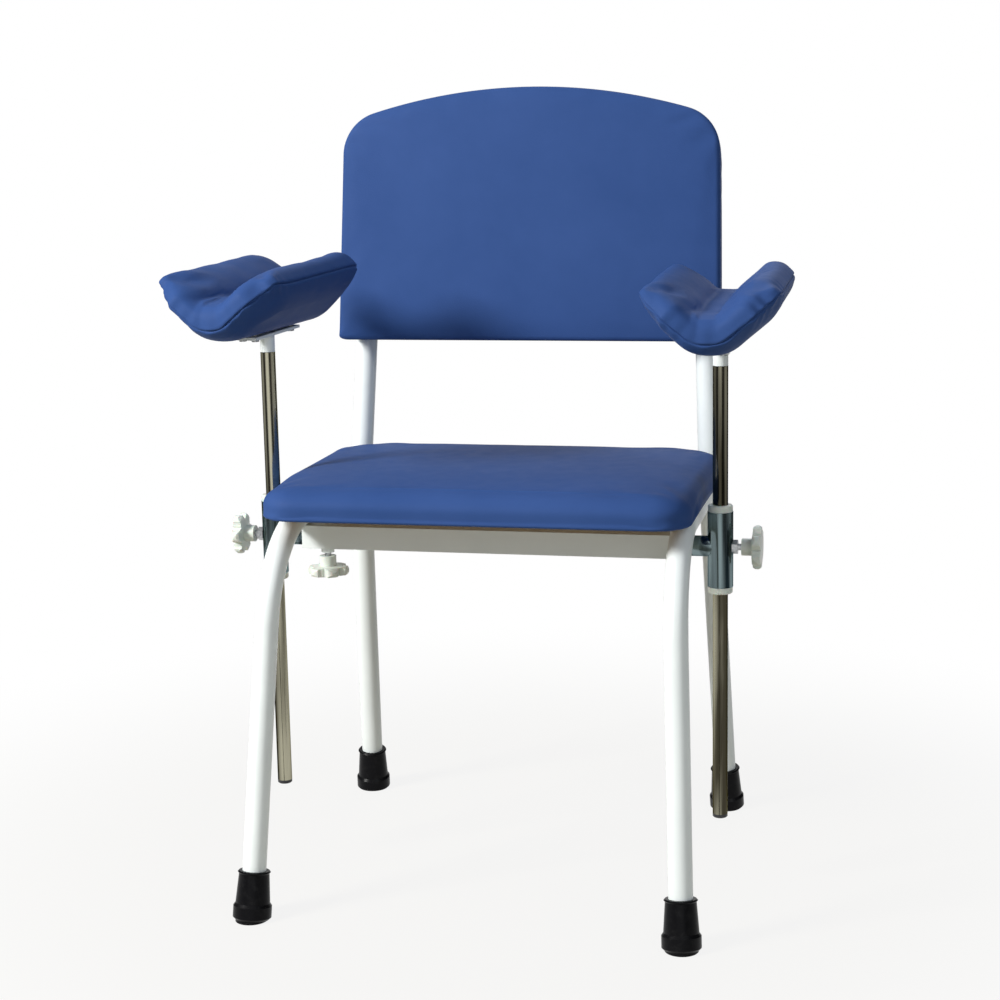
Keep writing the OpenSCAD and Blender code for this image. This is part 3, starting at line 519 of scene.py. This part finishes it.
def pillow(loop, profiles, share, lift):
    """A board cushion over a flat loop, with a top panel raised by lift(across, along).

    Rings are the loop drawn in along its normals by an edge profile's insets. share, 0 to
    1 per point of the loop, blends from the first profile to the second.
    """
    normal = outward(loop)
    first, second = (np.array(p) for p in profiles)
    blend = first[:, None] * (1 - share[None, :, None]) + second[:, None] * share[None, :, None]
    rings = np.concatenate([loop[None] - normal[None] * blend[..., :1], blend[..., 1:]], -1)
    top = coons(rings[-1])
    top[..., 2] += lift(top[..., 0], top[..., 1])
    return closed_form(coons(rings[0]), rings, top)


def dome(share):
    """1 in the middle, 0 with no slope left at a share of 1, flat in between."""
    return np.clip(1 - np.abs(share) ** 3, 0, 1) ** 1.5


SEAT = dict(half_w=227.0, half_d=165.0, front_r=38, rear_r=62, drawn_in=1.6, crown=4.0,
            cap=1.4, pressure=3.0)
# Edge profiles of the seat's rear and sides, and of its front
SEAT_REAR = dict(thick=33, tuck=3, shoulder=(13, 11), belly=0.8)
SEAT_FRONT = dict(thick=32, tuck=3, shoulder=(24, 18), belly=1.0)


def corner_pleats(verts, centres):
    """Small pleats where a cover is drawn under at its round corners.

    Waves round each corner's centre, strongest at the foot and gone half way up.
    """
    total = np.zeros(len(verts))
    for cx, cy in centres:
        x, y = np.abs(verts[:, 0]) - cx, (verts[:, 1] - cy) * (1 if cy > 0 else -1)
        inside = (x > 0) & (y > 0)
        around = np.arctan2(np.where(inside, y, 0), np.where(inside, x, 1))
        total += inside * np.sin(2 * around) * np.sin(22 * around)
    return 0.55 * total * np.clip(1 - verts[:, 2] / 15, 0, 1) * (verts[:, 2] > 0.2)


def seat_cushion():
    """Seat: straight front, wide rear corners, sides drawn in a little, low crown.

    The outline's rings follow one edge profile at the front and another at the rear,
    blended by a smooth step along Y. The top panel is a Coons patch plus the crown.
    """
    w, d = SEAT["half_w"], SEAT["half_d"]
    front_r, rear_r = SEAT["front_r"], SEAT["rear_r"]
    corners = [(-w, -d), (w, -d), (w, d), (-w, d)]
    shape = resample(rounded(corners, [front_r, front_r, rear_r, rear_r], 24), 1200)
    draw = SEAT["drawn_in"] * np.clip(1 - (np.abs(shape[:, 1]) / 150) ** 2, 0, 1)
    shape[:, 0] -= np.sign(shape[:, 0]) * draw * (np.abs(shape[:, 0]) > 190)
    loop = four_sides(shape, corners, SIDE_POINTS)
    fore = np.clip(0.5 - (loop[:, 1] + d - 70) / 90, 0, 1)
    profiles = (edge_profile(**SEAT_REAR), edge_profile(**SEAT_FRONT))
    verts, faces = pillow(loop, profiles, fore ** 2 * (3 - 2 * fore),
                          lambda x, y: SEAT["crown"] * dome(x / w) * dome(y / d))
    obj = face_out(new_piece("seat_pad", verts + [0, 0, RAIL_TOP], faces, "chair"))
    settle(obj, SEAT["cap"], verts[:, 2] < 3.0, SEAT["pressure"])
    centres = [(w - front_r, front_r - d), (w - rear_r, d - rear_r)]
    push_out(obj, corner_pleats(verts, centres))
    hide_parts("seat_cushion")
    return finish_pad(obj)


BACK = dict(half=224.0, height=288.0, arch=675.0, shoulder=50.0, foot=5.0, narrow=5.0,
            drop=2.5, crown=4.5, cap=1.5, pressure=3.0)
BACK_EDGE = dict(thick=36, tuck=1.5, shoulder=(6, 6), slant=7)


def back_outline():
    """Backrest: straight foot, tapering sides, round shoulders and a shallow arch."""
    half, height, arch, shoulder, foot = (BACK[k] for k in ("half", "height", "arch",
                                                            "shoulder", "foot"))
    cy = height - arch
    sx = half - shoulder
    sy = cy + math.sqrt((arch - shoulder) ** 2 - sx ** 2)
    bend = math.atan2(sy - cy, sx)
    arcs = [(half - foot, foot, foot, -math.pi / 2, 0), (sx, sy, shoulder, 0, bend),
            (0, cy, arch, bend, math.pi - bend), (-sx, sy, shoulder, math.pi - bend, math.pi),
            (foot - half, foot, foot, math.pi, 1.5 * math.pi)]
    parts = []
    for x, y, r, start, end in arcs:
        t = np.linspace(start, end, 80)
        parts.append(np.stack([x + r * np.cos(t), y + r * np.sin(t)], -1))
    shape = np.vstack(parts)
    shape[:, 0] *= 1 - BACK["narrow"] / half * shape[:, 1] / height
    shape[:, 1] -= BACK["drop"] * (1 - shape[:, 1] / height)
    return resample(shape, 1600)


def backrest_cushion():
    """Backrest: a board cushion over back_outline, leaned back and set behind the sitter.

    The flat cushion is turned about X by the recline, then moved so that its rearmost
    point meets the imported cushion's rear.
    """
    half, height = BACK["half"], BACK["height"]
    corners = [(-half, 0), (half, 0), (half - 20, height - 45), (20 - half, height - 45)]
    loop = four_sides(back_outline(), corners, SIDE_POINTS)
    edge = edge_profile(**BACK_EDGE)
    verts, faces = pillow(loop, (edge, edge), np.zeros(len(loop)),
                          lambda x, y: BACK["crown"] * dome(x / half) * dome(2 * y / height - 1))
    placed = verts @ turn("X", 90 - RECLINE).T
    _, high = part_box("backrest_cushion")
    shift = np.array([0, high.y / MM - placed[:, 1].max(), BACK_FOOT])
    obj = face_out(new_piece("backrest_pad", placed + shift, faces, "chair"))
    settle(obj, BACK["cap"], verts[:, 2] < 2.5, BACK["pressure"])
    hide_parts("backrest_cushion")
    return finish_pad(obj)


# Arm pads

PAD = dict(half_w=82, front=119, rear=107, edge=92, prow=52, thick=45, tip_share=0.78,
           reach=33, wing=38, flat=6, bend=11, top_bend=27, crown=1, swell=8, lean=2.5,
           full=0.66, cap=3.5, pressure=4.0)
SEAM_LEVEL = -15.0


def bend_pad(points, height):
    """Flat pad points (across, along) bent into a trough, at a height over its middle.

    A flat foot, then an arc whose slope grows evenly to the wing's, then straight wings.
    The arc is tight below and wide above. The height shrinks evenly from the middle to
    the tip share at the wing tips. Above the seam the wings swell, the one towards +X more.
    """
    wing = math.radians(PAD["wing"])
    a = np.abs(points[..., 0])
    above = np.clip(height / (PAD["thick"] / 2), 0, 1)
    bend = PAD["bend"] + (PAD["top_bend"] - PAD["bend"]) * above
    bent = np.clip(a - PAD["flat"], 0, bend)
    straight = np.maximum(a - PAD["flat"] - bend, 0)
    ang = wing * bent / bend
    h = height * (1 - (1 - PAD["tip_share"]) * a / PAD["half_w"])
    swell = PAD["swell"] + PAD["lean"] * np.sign(points[..., 0])
    h = h + swell * above * np.clip(a / 66, 0, 1) ** 1.6
    x = np.minimum(a, PAD["flat"]) + bend / wing * np.sin(ang) + straight * math.cos(wing)
    z = bend / wing * (1 - np.cos(ang)) + straight * math.sin(wing)
    return np.stack([np.sign(points[..., 0]) * (x - h * np.sin(ang)), points[..., 1],
                     z + h * np.cos(ang)], -1)


def pad_loop(inset):
    """Eight-sided pad outline drawn in by inset, with a fixed share of points on each side.

    The front wing tips are sharp and pulled out into small ears, the rear ones blunt.
    """
    w = PAD["half_w"] - inset
    c = PAD["prow"] * w / PAD["half_w"]
    f, r, e = (PAD[k] - inset for k in ("front", "rear", "edge"))
    knots = np.array([(-w, -e), (-c, -f), (c, -f), (w, -e), (w, e), (c, r), (-c, r), (-w, e)])
    share = SIDE_POINTS // 3
    counts = [share, share, share, SIDE_POINTS] * 2
    spans = [a + (b - a) * np.linspace(0, 1, n, endpoint=False)[:, None]
             for a, b, n in zip(knots, np.roll(knots, -1, 0), counts)]
    sharp, blunt = (soften(np.vstack(spans), reach) for reach in (2.2, 5.5))
    rear = np.clip(sharp[:, 1:] / 60 + 0.5, 0, 1)
    loop = sharp * (1 - rear) + blunt * rear
    ear = np.exp(-(tip_distance(loop[:, 0], loop[:, 1], w, e) / 14) ** 2)[:, None] * (1 - rear)
    return loop + np.sign(loop) * [2.0, 2.5] * ear


def tip_distance(x, y, w, e):
    """Distance from flat pad points to the nearest wing tip."""
    return np.hypot(np.abs(x) - w, np.abs(y) - e)


def waves(x, y, seed, count, short, long):
    """Sum of sine waves in the plane, with seeded directions, lengths and starts."""
    pick = np.random.default_rng(seed)
    total = np.zeros_like(x)
    for _ in range(count):
        turn_by, start = pick.uniform(0, 2 * math.pi, 2)
        length = pick.uniform(short, long)
        total += np.sin(2 * math.pi * (x * math.cos(turn_by) + y * math.sin(turn_by)) / length
                        + start)
    return total / math.sqrt(count)


def pad_folds(flat, level, run, side):
    """How far each point of a pad stands out: seam, gathers along it and soft folds.

    level is the profile's angle, run the length along the edge. The seam is a narrow
    groove between two low ridges. Gathers are waves along the run that die out away from
    the seam, and folds run in from the pad's front and rear.
    """
    x, y = flat[:, 0], flat[:, 1]
    off = level - SEAM_LEVEL
    seam = -1.8 * np.exp(-(off / 2.4) ** 2) + 0.6 * np.exp(-((np.abs(off) - 8) / 6) ** 2)
    front = np.clip((-y - 50) / 50, 0, 1)
    rear = np.clip((y - 70) / 40, 0, 1)
    tip = np.exp(-(tip_distance(x, y, PAD["half_w"], PAD["edge"]) / 40) ** 2)
    drift = waves(x, y, 11 + side, 5, 45, 100)
    near = np.exp(-np.abs(off) / 30) * (np.abs(off) > 4)
    gathers = np.sin(2 * math.pi * run / 19 + 2.2 * drift) * near
    gathers *= 0.08 + 0.9 * front + 0.35 * rear + 0.25 * tip
    fold = np.sin(2 * math.pi * x / 36 + 1.5 * drift + 0.04 * np.abs(y))
    reach = np.clip((np.abs(y) - 45) / 35, 0, 1) * np.clip((118 - np.abs(y)) / 25, 0, 1)
    folds = fold * reach * np.clip(off / 60, 0, 1) * np.where(y < 0, 1.0, 0.45)
    folds *= np.clip(np.abs(x) / 24, 0.3, 1)
    soft = 0.4 * waves(x, y, 23 + side, 6, 35, 90) * np.clip(np.abs(off) / 30, 0, 1)
    return seam + 1.1 * gathers + 1.6 * folds + soft


def arm_pad(side):
    """Saddle pad: an edge profile round the outline, bent into a trough on its plate.

    At angle t of the profile the outline is drawn in by 1 - cos t and stands at sin t,
    each to a power that makes it elliptical below and fuller above. Two Coons panels
    close it.
    """
    half = PAD["thick"] / 2
    levels = np.union1d(np.linspace(-90, 90, 37), SEAM_LEVEL + np.array([-3, -1.5, 1.5, 3]))
    rings = []
    for t in np.radians(levels):
        full = PAD["full"] if t > 0 else 1.0
        loop = pad_loop(PAD["reach"] * (1 - max(math.cos(t), 0) ** full))
        height = half * math.copysign(abs(math.sin(t)) ** full, t)
        tip = tip_distance(loop[:, 0], loop[:, 1], PAD["half_w"], PAD["edge"])
        front = np.clip(-loop[:, 1] / 60, 0, 1)
        thin = 1 - 0.3 * front * np.exp(-(tip / 18) ** 2)
        if t < 0:
            thin *= 1 - 0.2 * np.clip((-loop[:, 1] - 60) / 50, 0, 1)
        rings.append(np.column_stack([loop, height * thin]))
    rings = np.array(rings)
    top = coons(rings[-1])
    top[..., 2] += PAD["crown"] * dome(top[..., 0] / 50) * dome(top[..., 1] / 85)
    flat, faces = closed_form(coons(rings[0]), rings, top)
    inner = (len(flat) - rings.size // 3) // 2
    rim = rings[len(levels) // 2]
    edge = np.linalg.norm(np.diff(rim, axis=0, append=rim[:1]), axis=1)
    run = np.tile(np.cumsum(edge), len(levels))
    level = np.concatenate([np.repeat(levels, rings.shape[1]), np.full(inner, -90.0),
                            np.full(inner, 90.0)])
    run = np.concatenate([run, np.zeros(2 * inner)])

    verts = bend_pad(flat[:, :2], flat[:, 2]) + [0, 0, PLATE_T + half]
    verts = verts @ turn("X", PAD_TILT).T + [0, 0, POST_H]
    verts = verts @ turn("Z", SWIVEL[side]).T
    verts = verts + [SIDES[side] * ROD_X, ARM_Y, ROD_TOP[side]]
    obj = face_out(new_piece("saddle_pad_" + side, verts, faces, side + "_rest"))
    valley = (level > 60) & (np.abs(flat[:, 0]) < 16)
    seam = np.abs(level - SEAM_LEVEL) < 3.5
    settle(obj, PAD["cap"], (level < -60) | seam | valley, PAD["pressure"])
    lying = level < -55
    push_out(obj, np.where(lying, 0, pad_folds(flat, level, run, SIDES[side])))
    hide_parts("arm_pad_" + side)
    return finish_pad(obj)


# Studio

# Sockets of the Light Path node
SEEN, GLOSSY, THROUGH = 0, 3, 6
# Name, place in metres, size, watts and colour of each lamp
LAMPS = [("key", (-2.05, -1.72, 1.84), 0.75, 112, (1, 0.99, 0.97)),
         ("fill", (1.2, -2.8, 1.0), 1.2, 5, (0.93, 0.97, 1)),
         ("side", (2.0, -1.9, 2.2), 1.2, 16, (0.93, 0.97, 1)),
         ("top", (0.2, 0.2, 3.0), 1.6, 9, (1, 1, 1)),
         ("rear", (0.4, 2.4, 3.0), 1.6, 17, (0.95, 0.98, 1))]
LAMP_AIM = (0, 0, 0.45)
FLOOR_R = 1.9
# The photograph's camera: metres, millimetres and degrees
CAMERA = dict(place=(0.4922, -2.1282, 0.8261), lens=73.33, sensor=36, yaw=13.06, pitch=10.73,
              roll=1.12)


def shown_rays(nodes):
    """1 for the rays that show the background: camera, glossy and transmission rays."""
    seen, glossy, through = (nodes.node("LightPath", output=k) for k in (SEEN, GLOSSY, THROUGH))
    return seen + glossy + through


def surroundings():
    """White to the camera; metal also sees a dark flag at each side; dim to the rest."""
    world = bpy.data.worlds.new("studio")
    bpy.context.scene.world = world
    world.use_nodes = True
    world.node_tree.nodes.clear()
    n = Nodes(world.node_tree)
    glossy = n.node("LightPath", output=GLOSSY)
    way = n.node("SeparateXYZ", Vector=n.node("TexCoord", output=0))
    flag = n.node("ValToRGB", {"stops": ((0.25, (1, 1, 1)), (0.55, (0.03, 0.03, 0.03)),
                                         (0.8, (0.03, 0.03, 0.03)), (1.0, (0.5, 0.5, 0.5)))},
                  Fac=n.node("Math", {"operation": "ABSOLUTE"}, i0=way))
    sight = n.node("Mix", {"data_type": "RGBA"}, output=2, i0=glossy, i6=(1, 1, 1, 1), i7=flag)
    seen = n.node("Background", Color=sight)
    light = n.node("Background", Color=(0.9, 0.95, 1, 1), Strength=0.19)
    mix = n.node("MixShader", i0=shown_rays(n), i1=light, i2=seen)
    n.node("OutputWorld", Surface=mix)


def pale_floor():
    """A pale disc that keeps a soft shadow and fades to white at its rim."""
    t = np.linspace(0, 2 * math.pi, 96, endpoint=False)
    mesh = bpy.data.meshes.new("floor")
    rim = np.column_stack([FLOOR_R * np.cos(t), FLOOR_R * np.sin(t), 0 * t])
    mesh.from_pydata(rim.tolist(), [], [tuple(range(len(rim)))])
    floor = bpy.data.objects.new("floor", mesh)
    bpy.context.scene.collection.objects.link(floor)
    f = Finish("pale_floor", Base_Color=(0.38, 0.35, 0.28, 1), Roughness=0.9,
               Specular_IOR_Level=0.1)
    reach = f.node("VectorMath", {"operation": "LENGTH"}, output=1, i0=f.place)
    fade = f.node("MapRange", {"interpolation_type": "SMOOTHSTEP"}, Value=reach, i1=0.35,
                  i2=1.1, i3=0.87, i4=1.0)
    white = f.node("Emission", Color=(1, 1, 1, 1), Strength=1.0)
    bare = Value(f.tree, f.shader.outputs[0])
    mix = f.node("MixShader", i0=shown_rays(f) * fade, i1=bare, i2=white)
    f.tree.links.new(mix.socket, f.tree.nodes["Material Output"].inputs["Surface"])
    dress(floor, f.material)


def lamp(name, place, size, power, colour):
    """A square soft lamp aimed at the middle of the chair."""
    data = bpy.data.lights.new(name, "AREA")
    data.size = size
    data.energy = power
    data.color = colour
    obj = bpy.data.objects.new(name, data)
    bpy.context.scene.collection.objects.link(obj)
    obj.location = place
    aim = Vector(LAMP_AIM) - Vector(place)
    obj.rotation_mode = "QUATERNION"
    obj.rotation_quaternion = aim.to_track_quat("-Z", "Y")


def studio():
    bpy.context.scene.view_settings.view_transform = "Standard"
    surroundings()
    pale_floor()
    for row in LAMPS:
        lamp(*row)


def camera():
    """The photograph's viewpoint, from its yaw, pitch and roll."""
    yaw, pitch, roll = (math.radians(CAMERA[k]) for k in ("yaw", "pitch", "roll"))
    look = Vector((-math.sin(yaw) * math.cos(pitch), math.cos(yaw) * math.cos(pitch),
                   -math.sin(pitch)))
    right = Vector((math.cos(yaw), math.sin(yaw), 0))
    down = look.cross(right)
    across = math.cos(roll) * right + math.sin(roll) * down
    below = -math.sin(roll) * right + math.cos(roll) * down
    data = bpy.data.cameras.new("camera")
    data.sensor_width = CAMERA["sensor"]
    data.lens = CAMERA["lens"]
    obj = bpy.data.objects.new("camera", data)
    bpy.context.scene.collection.objects.link(obj)
    turned = Matrix((across, -below, -look)).transposed().to_4x4()
    turned.translation = Vector(CAMERA["place"])
    obj.matrix_world = turned
    bpy.context.scene.camera = obj


dress_frame()
seat_cushion()
backrest_cushion()
for side in SIDES:
    arm_pad(side)
studio()
camera()
